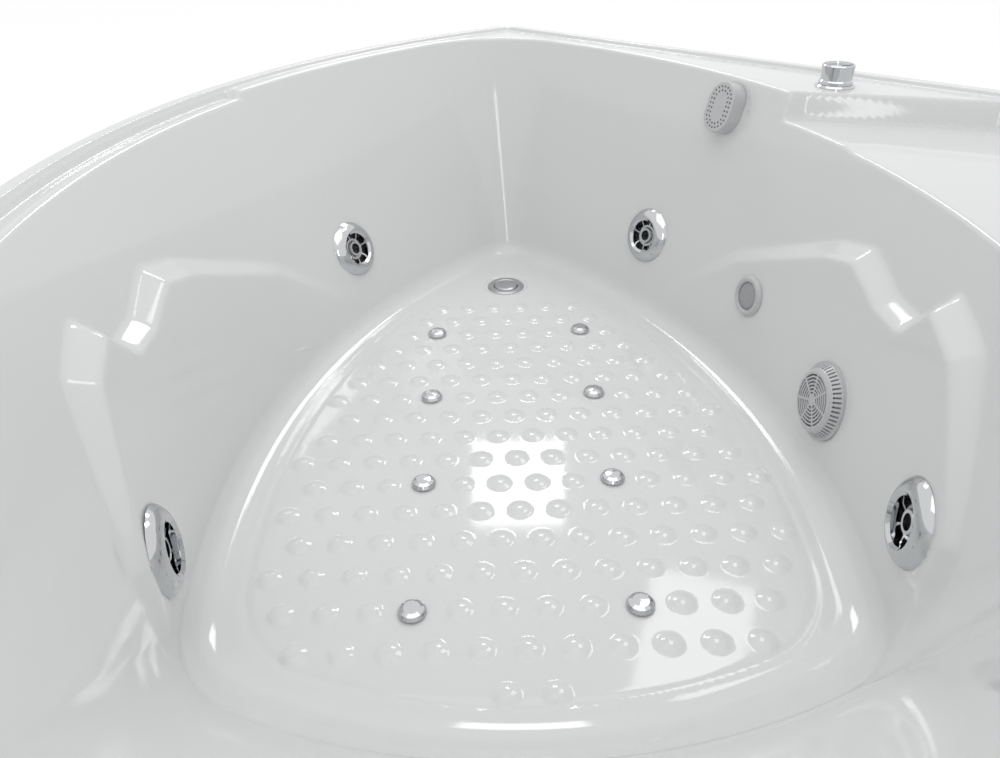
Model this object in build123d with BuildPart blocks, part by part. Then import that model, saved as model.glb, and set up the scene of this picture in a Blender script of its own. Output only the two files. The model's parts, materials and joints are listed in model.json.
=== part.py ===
from build123d import *
import math
import os

os.makedirs("parts", exist_ok=True)

# Driving sizes, in millimetres. X runs along the tub's long diagonal, with the
# drain end at -X. +Y points to the room corner, -Y to the curved front.

# Outline of the tub seen from above
wall_length = 1350.0
front_radius = 1080.0
axis_y = -210.0

# Heights above the room floor
floor_z = 155.0
deck_z = 554.0
ridge_height = 6.0
ridge_width = 20.0
ridge_gap = 45.0
skirt_depth = 60.0
shell_thickness = 6.0

# Basin outline at the floor
foot_side_radius = 1080.0
foot_side_x = 90.0
foot_half_width = 371.0
foot_end_x = 422.0
foot_end_radius = 700.0
foot_far_round = 60.0
foot_near_round = 130.0
floor_fillet = 42.0
end_fillet = 100.0
fillet_steps = 3
side_wall_angle = math.radians(74.0)
end_wall_angle = math.radians(52.0)

# Basin outline at the deck
deck_width_front = 40.0
top_side_radius = 1150.0
top_side_x = 60.0
top_half_width = 476.0
top_end_x = 740.0
top_end_y = -300.0
top_end_radius = 620.0
top_far_round = 170.0
top_near_round = 150.0

# Corner seat and front ledge, lowered below the deck
seat_drop = 37.0
seat_margin = 42.0
seat_neck_x = 245.0
seat_throat_x = 333.0
seat_throat_y = 215.0
seat_round = 40.0
ledge_drop = 10.0
ledge_width = 16.0
ledge_reach = 440.0

# Side bolsters
bolster_depth = 35.0
bolster_round = 14.0
bolster_end_x = -470.0
bolster_top_z = 451.0
bolster_dip_z = 404.0

# Hydro jets: trim ring, swivel nozzle and wall body
jet_z = 277.0
jet_places = ((-462.0, -1), (269.0, -1), (-485.0, 1), (263.0, 1))
jet_trim_radius = 47.5
jet_opening_radius = 26.0
jet_ball_radius = 15.0
jet_bore_radius = 9.0
jet_barrel_radius = 33.0
jet_flange_radius = 41.0
jet_chamber_radius = 35.0
jet_chamber_depth = 62.0
jet_port_radius = 16.0
jet_nut_radius = 43.0
jet_clearance = 2.0

# Wall light, suction fitting and overflow
light_x = -220.0
light_z = 286.0
light_radius = 31.0
light_lens_radius = 21.0
light_seat_depth = 42.0
suction_x = 12.0
suction_z = 252.0
suction_radius = 51.0
suction_face_radius = 40.0
suction_height = 17.0
suction_slot_rings = 6
suction_ribs = 7
suction_side_slots = 48
suction_seat_depth = 60.0
overflow_x = -433.0
overflow_z = 507.0
overflow_width = 58.0
overflow_height = 78.0
overflow_depth = 24.0
overflow_seat_depth = 30.0

# Floor fittings, on a line of their own beside the basin's axis
floor_line_y = -216.0
drain_x = -551.0
drain_recess_radius = 42.0
drain_flange_radius = 35.0
drain_plug_radius = 22.0
drain_lift = 8.0
air_jet_spacing = 248.0
air_jet_x = (-363.0, -166.0, 37.0, 251.0)
air_cap_radius = 15.7
air_cap_height = 8.0
air_pipe_z = 118.0
air_pipe_radius = 9.0
air_cross_x = 500.0
blower_x = 610.0
blower_radius = 75.0
blower_bottom_z = 50.0
waste_z = 55.0
waste_radius = 20.0
waste_nut_radius = 27.0
waste_nut_length = 24.0
waste_spigot_radius = 19.0
waste_shoulder_gap = 1.0
trap_radius = 38.0
trap_bottom_z = 32.0
overflow_pipe_z = 85.0
overflow_pipe_radius = 13.7

# Deck knob
knob_x = -363.0
knob_y = 270.0
knob_radius = 23.0
knob_height = 27.0
knob_flange_radius = 28.0

# Fits
running_gap = 0.05
seat_gap = 0.3
gasket = 2.0
wall_seat_depth = 4.6

# Frame, board and apron
board_thickness = 16.0
board_margin = 25.0
tube_size = 30.0
tube_wall = 2.0
long_rail_y = 185.0
long_rail_x = (-500.0, 700.0)
cross_rail_x = (-430.0, -70.0, 330.0)
cross_rail_rear_y = (90.0, 430.0, 386.0)
apron_thickness = 4.0
apron_bottom_z = 14.0
foot_rod_radius = 6.0
foot_pad_radius = 25.0
foot_pad_height = 12.0
foot_inset = 70.0
foot_rear_inset = 20.0

# Water and air pipes
ring_z = 130.0
ring_radius = 20.0
pipe_wall = 2.5
pump_x = 110.0
pump_y = 310.0
pump_outlet_drop = 48.0
volute_radius = 66.0
volute_width = 52.0
motor_radius = 55.0
motor_length = 160.0
plate_thickness = 3.0

# Derived outline
corner_x = wall_length / math.sqrt(2)
front_sagitta = front_radius - math.sqrt(front_radius**2 - corner_x**2)
room_corner_y = (corner_x + front_sagitta) / 2
chord_y = room_corner_y - corner_x
front_centre_y = chord_y + math.sqrt(front_radius**2 - corner_x**2)
deck_underside = deck_z - shell_thickness
floor_underside = floor_z - shell_thickness
board_z = floor_underside - board_thickness
long_rail_z = board_z - tube_size
cross_rail_z = long_rail_z - tube_size
pump_z = ring_z + pump_outlet_drop


def circle_meet(first, second, toward):
    """The point where two circles (x, y, r) cross, on the side of toward."""
    ax, ay, ar = first
    bx, by, br = second
    gap = math.hypot(bx - ax, by - ay)
    along = (ar**2 - br**2 + gap**2) / (2 * gap)
    across = math.sqrt(max(ar**2 - along**2, 0))
    ux, uy = (bx - ax) / gap, (by - ay) / gap
    points = [(ax + along * ux - s * across * uy, ay + along * uy + s * across * ux) for s in (1, -1)]
    return min(points, key=lambda p: math.dist(p, toward))


def arc_between(circle, start, end):
    """The short arc of a circle (x, y, r) between two of its points."""
    cx, cy, r = circle
    mx, my = (start[0] + end[0]) / 2 - cx, (start[1] + end[1]) / 2 - cy
    size = math.hypot(mx, my)
    return ThreePointArc(start, (cx + mx * r / size, cy + my * r / size), end)


def rounded_outline(left, right, end, far_round, near_round):
    """A basin outline of two long sides and a head end, with its corners rounded."""
    far = circle_meet(left, right, (-wall_length, axis_y))
    near_left = circle_meet(left, end, (wall_length, -wall_length))
    near_right = circle_meet(right, end, (wall_length, wall_length))
    with BuildSketch() as outline:
        with BuildLine():
            arc_between(left, far, near_left)
            arc_between(end, near_left, near_right)
            arc_between(right, near_right, far)
        make_face()
        corners = outline.vertices().sort_by(Axis.X)
        fillet(corners[0], far_round)
        near = outline.vertices().sort_by(Axis.X)[-2:]
        fillet(near, near_round)
    return outline.sketch


def foot_outline(side_grow, end_grow):
    """The basin's outline near the floor."""
    offset_y = foot_side_radius - foot_half_width
    return rounded_outline(
        (foot_side_x, axis_y + offset_y, foot_side_radius + side_grow),
        (foot_side_x, axis_y - offset_y, foot_side_radius + side_grow),
        (foot_end_x - foot_end_radius, axis_y, foot_end_radius + end_grow),
        foot_far_round + side_grow,
        foot_near_round + side_grow,
    )


def top_outline(grow):
    """The basin's outline at deck height: the front side runs along the curved front."""
    return rounded_outline(
        (0, front_centre_y, front_radius - deck_width_front + grow),
        (top_side_x, axis_y + top_half_width - top_side_radius, top_side_radius + grow),
        (top_end_x - top_end_radius, top_end_y, top_end_radius + grow),
        top_far_round + grow,
        top_near_round + grow,
    )


def fillet_reach(radius, wall_angle, grow, rise):
    """How far a rounded floor edge reaches past the foot line at a height above the floor."""
    turn = math.acos((radius - rise) / (radius + grow))
    turn = min(turn, wall_angle)
    return (radius + grow) * math.sin(turn) - radius * math.tan(wall_angle / 2)


def basin_form(grow, top_grow):
    """The basin as a solid, grown outward and down: a rounded floor edge and leaning walls."""
    with BuildPart() as form:
        for step in range(fillet_steps + 1):
            turn = side_wall_angle * step / fillet_steps
            rise = floor_fillet - (floor_fillet + grow) * math.cos(turn)
            side_grow = fillet_reach(floor_fillet, side_wall_angle, grow, rise)
            end_grow = fillet_reach(end_fillet, end_wall_angle, grow, rise)
            with BuildSketch(Plane.XY.offset(floor_z + rise)):
                add(foot_outline(side_grow, end_grow))
        with BuildSketch(Plane.XY.offset(deck_z)):
            add(top_outline(top_grow))
        loft(ruled=True)
    return form.part


def footprint(inset):
    """The tub's outline from above, drawn in from the walls and the front."""
    radius = front_radius - inset
    corner_y = room_corner_y - inset * math.sqrt(2)
    rise = corner_y - front_centre_y
    side = (math.sqrt(2) * rise + math.sqrt(4 * radius**2 - 2 * rise**2)) / 2
    end_x, end_y = side / math.sqrt(2), corner_y - side / math.sqrt(2)
    with BuildSketch() as outline:
        with BuildLine():
            Line((-end_x, end_y), (0, corner_y))
            Line((0, corner_y), (end_x, end_y))
            ThreePointArc((end_x, end_y), (0, front_centre_y - radius), (-end_x, end_y))
        make_face()
    return outline.sketch


def seat_form(grow):
    """The corner seat as a solid between its floor and the deck."""
    neck_y = room_corner_y - seat_neck_x - seat_margin * math.sqrt(2)
    corner_y = room_corner_y - seat_margin * math.sqrt(2)
    inside_y = seat_throat_y - seat_round
    side = [(seat_throat_x, inside_y), (seat_throat_x, seat_throat_y), (seat_neck_x, neck_y)]
    mirrored = [(-x, y) for x, y in reversed(side)]
    with BuildPart() as form:
        with BuildSketch(Plane.XY.offset(deck_z - seat_drop - grow)):
            with BuildLine():
                Polyline(side + [(0, corner_y)] + mirrored, close=True)
            make_face()
            offset(amount=grow, kind=Kind.INTERSECTION)
        extrude(amount=seat_drop + grow)
        upright = form.edges().filter_by(Axis.Z).group_by(Axis.Y)[1:]
        for edges in upright:
            fillet(edges, seat_round)
    return form.part


def ledge_form(grow):
    """The lowered step along the curved front, between the ridge and the basin."""
    outer = front_radius - deck_width_front + ledge_width + grow
    with BuildPart() as form:
        with BuildSketch(Plane.XY.offset(deck_z - ledge_drop - grow)):
            with Locations((0, front_centre_y)):
                Circle(outer)
                Circle(outer - ledge_width - deck_width_front, mode=Mode.SUBTRACT)
            with Locations((0, front_centre_y - front_radius)):
                Rectangle(2 * (ledge_reach + grow), front_radius, mode=Mode.INTERSECT)
        extrude(amount=ledge_drop + grow)
    return form.part


def bolster_prism(inset):
    """The side view of both bolsters, carried right across the tub."""
    outline = [
        (bolster_end_x, floor_z),
        (-290, 326),
        (-110, 412),
        (-50, 428),
        (30, bolster_dip_z),
        (85, bolster_dip_z),
        (120, bolster_top_z),
        (200, 430),
        (285, 357),
        (335, 310),
        (352, 250),
        (356, floor_z),
    ]
    with BuildPart() as prism:
        with BuildSketch(Plane.XZ) as side_view:
            with BuildLine():
                Polyline(outline, close=True)
            make_face()
            fillet(side_view.vertices().filter_by(lambda v: v.Z > floor_z + 1), bolster_round)
            if inset:
                offset(amount=-inset, kind=Kind.INTERSECTION)
        extrude(amount=wall_length, both=True)
    return prism.part


# Tub shell: deck, ridge, skirt and the moulded forms below them
inner_basin = basin_form(0, 0)
outer_basin = basin_form(shell_thickness, shell_thickness)
bolster_layer = inner_basin - basin_form(0, -bolster_depth)
bolsters = bolster_layer & bolster_prism(0)
cavity = inner_basin - bolsters


def turned(points, angle=360):
    """A solid of revolution about Z from a profile of (radius, height) points."""
    with BuildPart() as body:
        with BuildSketch(Plane.XZ):
            with BuildLine():
                Polyline(points, close=True)
            make_face()
        revolve(axis=Axis.Z, revolution_arc=angle)
    return body.part


def rod(radius, low, high, bore=0):
    """A round bar or tube along Z between two heights."""
    with BuildPart() as body:
        with BuildSketch(Plane.XY.offset(low)):
            Circle(radius)
            if bore:
                Circle(bore, mode=Mode.SUBTRACT)
        extrude(amount=high - low)
    return body.part


def box_tube(length):
    """A square tube along X with its origin at one end, at the middle of its underside."""
    with BuildPart() as tube:
        with BuildSketch(Plane.YZ):
            with Locations((0, tube_size / 2)):
                Rectangle(tube_size, tube_size)
                Rectangle(tube_size - 2 * tube_wall, tube_size - 2 * tube_wall, mode=Mode.SUBTRACT)
        extrude(amount=length)
    return tube.part


def pipe(points, radius, bend):
    """A hollow pipe of straight runs joined by bends."""
    with BuildPart() as run:
        with BuildLine() as path:
            if len(points) > 2:
                FilletPolyline(*points, radius=bend)
            else:
                Line(*points)
        with BuildSketch(Plane(origin=path.line @ 0, z_dir=path.line % 0)):
            Circle(radius)
        sweep(path=path.line)
    with BuildPart() as core:
        with BuildLine() as core_path:
            if len(points) > 2:
                FilletPolyline(*points, radius=bend)
            else:
                Line(*points)
        with BuildSketch(Plane(origin=core_path.line @ 0, z_dir=core_path.line % 0)):
            Circle(radius - pipe_wall)
        sweep(path=core_path.line)
    return run.part, core.part


def wall_seat(x, z, side):
    """A plane on the basin wall, with Z out of the wall into the basin and Y upward."""
    line = Axis((x, axis_y, z), (0, side, 0))
    hits = cavity.find_intersection_points(line)
    point, normal = max(hits, key=lambda hit: side * hit[0].Y)
    if normal.Y * side > 0:
        normal = -normal
    across = Vector(0, 0, 1).cross(normal).normalized()
    return Plane(origin=point, x_dir=across, z_dir=normal)


def placed(plane, part):
    """A copy of a part moved onto a plane."""
    return plane.location * part


def export_group(parts, node):
    """Write several separate solids as one node."""
    solids = [solid for part in parts for solid in part.solids()]
    for solid in solids:
        solid.label = node
    group = Compound(children=solids, label=node)
    export_step(group, f"parts/{node}.step")


def export_node(part, node):
    """Write one piece under its node name."""
    part.label = node
    export_step(part, f"parts/{node}.step")


# Seats of the wall fittings
jet_seats = [wall_seat(x, jet_z, side) for x, side in jet_places]
light_seat = wall_seat(light_x, light_z, 1)
suction_seat = wall_seat(suction_x, suction_z, 1)
overflow_seat = wall_seat(overflow_x, overflow_z, 1)
air_jet_points = [(x, floor_line_y + s * air_jet_spacing / 2) for x in air_jet_x for s in (-1, 1)]

jet_hole_radius = jet_barrel_radius + seat_gap
light_barrel_radius = light_lens_radius + 1
suction_barrel_radius = suction_face_radius - 6
air_barrel_radius = 10.0
drain_hole_radius = 26.0
drain_recess_depth = 3.0
drain_pad = 3.0


def seat_cutter(front_radius, hole_radius, back_radius, depth):
    """Spot faces on both sides of the wall, and the hole between them."""
    front = rod(front_radius, 0, 14)
    hole = rod(hole_radius, -depth, 1)
    back = rod(back_radius, -depth, -wall_seat_depth)
    return front + hole + back


def overflow_outline(grow):
    """The overflow's oval outline."""
    width = overflow_width + 2 * grow
    height = overflow_height + 2 * grow
    with BuildSketch() as outline:
        SlotOverall(height, width, rotation=90)
    return outline.sketch


with BuildPart() as tub_shell:
    with BuildSketch(Plane.XY.offset(deck_underside)):
        add(footprint(0))
    extrude(amount=shell_thickness)
    with BuildSketch(Plane.XY.offset(deck_z - skirt_depth)):
        add(footprint(0))
        add(footprint(shell_thickness), mode=Mode.SUBTRACT)
    extrude(amount=skirt_depth)
    with BuildSketch(Plane.XY.offset(deck_z)):
        add(footprint(0))
        add(footprint(ridge_width), mode=Mode.SUBTRACT)
        with Locations((corner_x, chord_y), (-corner_x, chord_y)):
            Circle(ridge_gap / 2, mode=Mode.SUBTRACT)
    extrude(amount=ridge_height)
    add(seat_form(shell_thickness))
    add(ledge_form(shell_thickness))
    add(outer_basin)
    with Locations((drain_x, floor_line_y, floor_underside - drain_pad)):
        Cylinder(drain_recess_radius + 6, drain_pad, align=(Align.CENTER, Align.CENTER, Align.MIN))
    add(seat_form(0), mode=Mode.SUBTRACT)
    add(ledge_form(0), mode=Mode.SUBTRACT)
    add(cavity, mode=Mode.SUBTRACT)
    with Locations((drain_x, floor_line_y, floor_z - drain_recess_depth)):
        Cylinder(drain_recess_radius, 10, align=(Align.CENTER, Align.CENTER, Align.MIN), mode=Mode.SUBTRACT)
    with Locations((drain_x, floor_line_y, floor_z)):
        Cylinder(drain_hole_radius, 50, mode=Mode.SUBTRACT)
    with Locations([(x, y, floor_z) for x, y in air_jet_points]):
        Cylinder(air_barrel_radius + seat_gap, 50, mode=Mode.SUBTRACT)
    with Locations((knob_x, knob_y, deck_z)):
        Cylinder(knob_radius - 6, 50, mode=Mode.SUBTRACT)
    for seat in jet_seats:
        cutter = seat_cutter(jet_trim_radius + 1, jet_hole_radius, jet_nut_radius + 1, jet_chamber_depth + jet_clearance)
        add(placed(seat, cutter), mode=Mode.SUBTRACT)
    cutter = seat_cutter(light_radius + 1, light_barrel_radius + seat_gap, light_radius + 1, light_seat_depth)
    add(placed(light_seat, cutter), mode=Mode.SUBTRACT)
    cutter = seat_cutter(suction_radius + 1, suction_barrel_radius + seat_gap, suction_radius, suction_seat_depth)
    add(placed(suction_seat, cutter), mode=Mode.SUBTRACT)
    cutter = seat_cutter(overflow_height / 2 + 2, 14 + seat_gap, 25, overflow_seat_depth)
    add(placed(overflow_seat, cutter), mode=Mode.SUBTRACT)
export_node(tub_shell.part, "tub_shell")
print("tub_shell", tub_shell.part.is_valid, len(tub_shell.solids()))

# Base board under the floor
with BuildPart() as base_board:
    with BuildSketch(Plane.XY.offset(board_z)):
        add(foot_outline(-board_margin, -board_margin))
        with Locations((drain_x, floor_line_y)):
            Circle(drain_recess_radius + 8, mode=Mode.SUBTRACT)
        with Locations(air_jet_points):
            Circle(22, mode=Mode.SUBTRACT)
    extrude(amount=board_thickness)
export_node(base_board.part, "base_board")

# Apron panel behind the skirt, along the curved front
apron_outer = front_radius - shell_thickness - seat_gap
apron_inner = apron_outer - apron_thickness
with BuildPart() as apron_panel:
    with BuildSketch(Plane.XY.offset(apron_bottom_z)):
        with Locations((0, front_centre_y)):
            Circle(apron_outer)
            Circle(apron_inner, mode=Mode.SUBTRACT)
        add(footprint(shell_thickness + seat_gap), mode=Mode.INTERSECT)
    extrude(amount=deck_underside - apron_bottom_z)
    add(ledge_form(shell_thickness + seat_gap), mode=Mode.SUBTRACT)
export_node(apron_panel.part, "apron_panel")


def front_y(x, inset):
    """Y of the apron's inner face at a given X, drawn in by inset."""
    return front_centre_y - math.sqrt((apron_inner - inset) ** 2 - x**2)


# Welded frame: long rails under the board, cross rails under them, and rear posts
long_rails = [
    Location((long_rail_x[0], axis_y + s * long_rail_y, long_rail_z)) * box_tube(long_rail_x[1] - long_rail_x[0])
    for s in (-1, 1)
]
export_group(long_rails, "frame_long_rails")

foot_points = []
cross_rails = []
for x, rear_y in zip(cross_rail_x, cross_rail_rear_y):
    start = front_y(abs(x) + tube_size / 2, seat_gap)
    rail = Location((x, start, cross_rail_z), (0, 0, 90)) * box_tube(rear_y - start)
    for y in (start + foot_inset, rear_y - foot_rear_inset):
        foot_points.append((x, y))
        rail -= Location((x, y, cross_rail_z)) * rod(foot_rod_radius + 0.5, -5, tube_size + 5)
    cross_rails.append(rail)
export_group(cross_rails, "frame_cross_rails")

post_tops = [(cross_rail_x[1], 415.0, deck_z - seat_drop - shell_thickness), (cross_rail_x[2], 370.0, deck_underside)]
posts = []
for x, y, top in post_tops:
    posts.append(Location((x, y, long_rail_z), (0, -90, 0)) * Location((0, 0, -tube_size / 2)) * box_tube(top - long_rail_z))
export_group(posts, "frame_posts")

# Levelling feet, screwed up through nuts under the cross rails
foot_nut_height = 8.0
foot = turned([
    (0, 0), (foot_pad_radius, 0), (foot_pad_radius, 5), (12, foot_pad_height), (foot_rod_radius, foot_pad_height),
    (foot_rod_radius, cross_rail_z + tube_size + 3), (0, cross_rail_z + tube_size + 3),
])
for index, (x, y) in enumerate(foot_points, 1):
    export_node(Location((x, y, 0)) * foot, f"foot_{index}")
with BuildPart() as foot_nut:
    with BuildSketch(Plane.XY.offset(cross_rail_z - foot_nut_height)):
        RegularPolygon(11, 6)
        Circle(foot_rod_radius + running_gap, mode=Mode.SUBTRACT)
    extrude(amount=foot_nut_height)
export_group([Location((x, y, 0)) * foot_nut.part for x, y in foot_points], "foot_nuts")

# Hydro jets, modelled about their own axis with the wall face at height 0
flange_top = gasket + 3
ball_z = -4.0
jet_gasket = rod(jet_flange_radius, 0, gasket, jet_hole_radius)
jet_nut = rod(jet_nut_radius, -wall_seat_depth - 10, -wall_seat_depth, jet_barrel_radius)
barrel_bore = jet_opening_radius + 3
chamber_top = -wall_seat_depth - 12
jet_body_shape = turned([
    (barrel_bore, flange_top), (jet_flange_radius, flange_top), (jet_flange_radius, gasket),
    (jet_barrel_radius, gasket), (jet_barrel_radius, chamber_top), (jet_chamber_radius, chamber_top),
    (jet_chamber_radius, -jet_chamber_depth), (0, -jet_chamber_depth), (0, 3 - jet_chamber_depth),
    (barrel_bore, 3 - jet_chamber_depth),
])

sleeve_outer = barrel_bore - running_gap
trim_skirt = jet_flange_radius + 1
web_low, web_high = ball_z - 4, ball_z + 4
hub_inner = jet_ball_radius + seat_gap
with BuildPart() as jet_trim:
    with BuildSketch(Plane.XZ):
        with BuildLine():
            dome = ThreePointArc((jet_trim_radius, seat_gap), (jet_trim_radius - 7, 8), (jet_opening_radius + 4, 12))
            Polyline(
                dome @ 1, (jet_opening_radius, 9), (jet_opening_radius, -14), (sleeve_outer, -14),
                (sleeve_outer, flange_top + seat_gap), (trim_skirt, flange_top + seat_gap),
                (trim_skirt, seat_gap), dome @ 0,
            )
        make_face()
    revolve(axis=Axis.Z)
    with BuildSketch(Plane.XY.offset(web_low)):
        Circle(hub_inner + 3)
        with PolarLocations(0, 8):
            with Locations((jet_opening_radius / 2 + 1, 0)):
                Rectangle(jet_opening_radius + 1, 2.4)
        Circle(hub_inner - 2, mode=Mode.SUBTRACT)
    extrude(amount=web_high - web_low)
    with Locations((0, 0, ball_z)):
        Sphere(hub_inner, mode=Mode.SUBTRACT)

with BuildPart() as jet_nozzle:
    with Locations((0, 0, ball_z)):
        Sphere(jet_ball_radius)
        Cylinder(jet_bore_radius, 4 * jet_ball_radius, mode=Mode.SUBTRACT)
    cap_height = 8.0
    with Locations((0, 0, ball_z + cap_height)):
        Cylinder(2 * jet_ball_radius, 20, align=(Align.CENTER, Align.CENTER, Align.MIN), mode=Mode.SUBTRACT)
    with Locations((0, 0, ball_z - cap_height)):
        Cylinder(2 * jet_ball_radius, 20, align=(Align.CENTER, Align.CENTER, Align.MAX), mode=Mode.SUBTRACT)

port_points = []
jet_bodies = []
for index, seat in enumerate(jet_seats, 1):
    export_node(placed(seat, jet_trim.part), f"jet_trim_{index}")
    export_node(placed(seat, jet_nozzle.part), f"jet_nozzle_{index}")
    centre = seat.origin - seat.z_dir * (jet_chamber_depth - jet_chamber_radius / 2 - 6)
    bottom = centre.Z - jet_chamber_radius - 18
    port = Location((centre.X, centre.Y, 0)) * rod(jet_port_radius, bottom, centre.Z)
    port_bore = Location((centre.X, centre.Y, 0)) * rod(jet_port_radius - pipe_wall, bottom - 1, centre.Z)
    hollow = placed(seat, rod(barrel_bore, 3 - jet_chamber_depth, flange_top + 1))
    body = placed(seat, jet_body_shape) + (port - hollow) - port_bore
    jet_bodies.append(body)
    port_points.append((centre.X, centre.Y, bottom))
export_group(jet_bodies, "jet_bodies")
export_group([placed(seat, jet_nut) for seat in jet_seats], "jet_nuts")
export_group([placed(seat, jet_gasket) for seat in jet_seats], "jet_gaskets")

# Water ring: one pressure pipe past all four jets, with a riser under each body
ends = 36.0
front_far, front_near, rear_far, rear_near = port_points
ring_route = [
    (front_near[0] + ends, front_near[1]),
    (-150, -620),
    front_far[:2],
    (-790, -215),
    rear_far[:2],
    (-250, 160),
    rear_near[:2],
    (rear_near[0] + ends, rear_near[1] + 2),
]
ring_path = [(x, y, ring_z) for x, y in ring_route]
ring, ring_core = pipe(ring_path, ring_radius, 40)
reach = (pump_x + 250) / (rear_near[0] + 250)
tee_y = 160 + reach * (rear_near[1] - 160)
outlet_y = pump_y - volute_radius - 10
tee, tee_core = pipe([(pump_x, tee_y, ring_z), (pump_x, outlet_y, ring_z)], 18, 1)
ring += tee
cores = ring_core + tee_core
for x, y, bottom in port_points:
    ring += Location((x, y, 0)) * rod(jet_port_radius, ring_z, bottom)
    cores += Location((x, y, 0)) * rod(jet_port_radius - pipe_wall, ring_z, bottom + 1)
water_ring = ring - cores
export_node(water_ring, "water_ring")

# Pump: volute with a tangential outlet, motor, rubber mounts and plate
with BuildPart() as pump_volute:
    with BuildSketch(Plane.YZ.offset(pump_x - volute_width / 2)):
        with Locations((pump_y, pump_z)):
            Circle(volute_radius)
    extrude(amount=volute_width)
    fillet(pump_volute.edges().filter_by(GeomType.CIRCLE), 10)
    with BuildSketch(Plane.XZ.offset(-pump_y)):
        with Locations((pump_x, ring_z)):
            Circle(18)
    extrude(amount=pump_y - outlet_y)
    with BuildSketch(Plane.YZ.offset(pump_x - volute_width / 2)):
        with Locations((pump_y, pump_z)):
            Circle(26)
            Circle(22 - pipe_wall, mode=Mode.SUBTRACT)
    extrude(amount=-8)
inlet_x = pump_x - volute_width / 2 - 8
export_node(pump_volute.part, "pump_volute")

motor_x = pump_x + volute_width / 2
mount_height = 8.0
mount_z = long_rail_z + plate_thickness
motor_foot_z = mount_z + mount_height
mount_points = [(motor_x + dx, pump_y + dy) for dx in (30, 120) for dy in (-34, 34)]
with BuildPart() as pump_motor:
    with BuildSketch(Plane.YZ.offset(motor_x)):
        with Locations((pump_y, pump_z)):
            Circle(motor_radius - 3)
            with PolarLocations(motor_radius - 4, 24):
                Rectangle(8, 3)
    extrude(amount=motor_length - 34)
    with BuildSketch(Plane.YZ.offset(motor_x + motor_length - 34)):
        with Locations((pump_y, pump_z)):
            Circle(motor_radius)
    extrude(amount=34)
    with Locations((motor_x + 75, pump_y, motor_foot_z)):
        Box(120, 88, 4, align=(Align.CENTER, Align.CENTER, Align.MIN))
        Box(100, 50, 14, align=(Align.CENTER, Align.CENTER, Align.MIN))
    with Locations((motor_x + 70, pump_y, pump_z + motor_radius - 8)):
        Box(70, 54, 26, align=(Align.CENTER, Align.CENTER, Align.MIN))
export_node(pump_motor.part, "pump_motor")
pump_mounts = [Location((x, y, 0)) * rod(10, mount_z, motor_foot_z) for x, y in mount_points]
export_group(pump_mounts, "pump_mounts")
plate_x = (cross_rail_x[1] - tube_size / 2, cross_rail_x[2] + tube_size / 2)
with BuildPart() as pump_plate:
    with BuildSketch(Plane.XY.offset(long_rail_z)):
        with Locations(((plate_x[0] + plate_x[1]) / 2, pump_y - 4)):
            RectangleRounded(plate_x[1] - plate_x[0], 90, 6)
    extrude(amount=plate_thickness)
export_node(pump_plate.part, "pump_plate")

# Suction fitting: wall body, slotted cover, nut, seal and the pipe to the pump
suction_flange = suction_radius - 3
suction_bore = suction_barrel_radius - 4
suction_body_depth = 58.0
suction_tail = turned([
    (suction_bore, 3), (suction_flange, 3), (suction_flange, 0), (suction_barrel_radius, 0),
    (suction_barrel_radius, -suction_body_depth), (0, -suction_body_depth),
    (0, 4 - suction_body_depth), (suction_bore, 4 - suction_body_depth),
])
back = suction_seat.origin - suction_seat.z_dir * 44
port_y = back.Y + 42
port_plane = Plane(origin=(back.X, back.Y, back.Z), x_dir=(1, 0, 0), z_dir=(0, 1, 0))
hollow = placed(suction_seat, rod(suction_bore, 4 - suction_body_depth, 4))
port = placed(port_plane, rod(22, 0, 42)) - hollow
port_core = placed(port_plane, rod(22 - pipe_wall, 0, 43))
suction_body = placed(suction_seat, suction_tail) + port - port_core
export_node(suction_body, "suction_body")
suction_nut = rod(suction_radius - 2, -wall_seat_depth - 9, -wall_seat_depth, suction_barrel_radius)
export_node(placed(suction_seat, suction_nut), "suction_nut")

cover_skin = 2.6
rib_width = 2.6
slot_step = 4.6
first_slot = 9.6
with BuildPart() as suction_cover:
    with BuildSketch(Plane.XZ):
        with BuildLine():
            Polyline(
                (0, suction_height), (suction_face_radius - 3, suction_height),
                (suction_face_radius + 1, suction_height - 2.5), (suction_radius - 2.5, 3.6),
                (suction_radius, 3.6), (suction_radius, seat_gap), (suction_flange + seat_gap, seat_gap),
                (suction_flange + seat_gap, 3), (suction_radius - 5.5, 3),
                (suction_face_radius - 1.5, suction_height - 4), (suction_face_radius - 4, suction_height - cover_skin),
                (0, suction_height - cover_skin), close=True,
            )
        make_face()
    revolve(axis=Axis.Z)
    with BuildSketch(Plane.XY.offset(suction_height + 1)):
        for ring_number in reversed(range(suction_slot_rings)):
            middle = first_slot + slot_step * ring_number
            Circle(middle + 1.3)
            Circle(middle - 1.3, mode=Mode.SUBTRACT)
        with PolarLocations(suction_face_radius / 2, suction_ribs):
            Rectangle(suction_face_radius, rib_width, mode=Mode.SUBTRACT)
    extrude(amount=-cover_skin - 2, mode=Mode.SUBTRACT)
    with BuildSketch(Plane.XY.offset(4.6)):
        with PolarLocations(suction_face_radius + 5, suction_side_slots):
            Rectangle(12, 2.4)
    extrude(amount=suction_height - 8.6, mode=Mode.SUBTRACT)
export_node(placed(suction_seat, suction_cover.part), "suction_cover")

suction_route = [(inlet_x, pump_y, pump_z), (back.X, pump_y, pump_z), (back.X, pump_y, back.Z), (back.X, port_y, back.Z)]
suction_run, suction_hollow = pipe(suction_route, 22, 30)
export_node(suction_run - suction_hollow, "suction_pipe")

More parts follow.
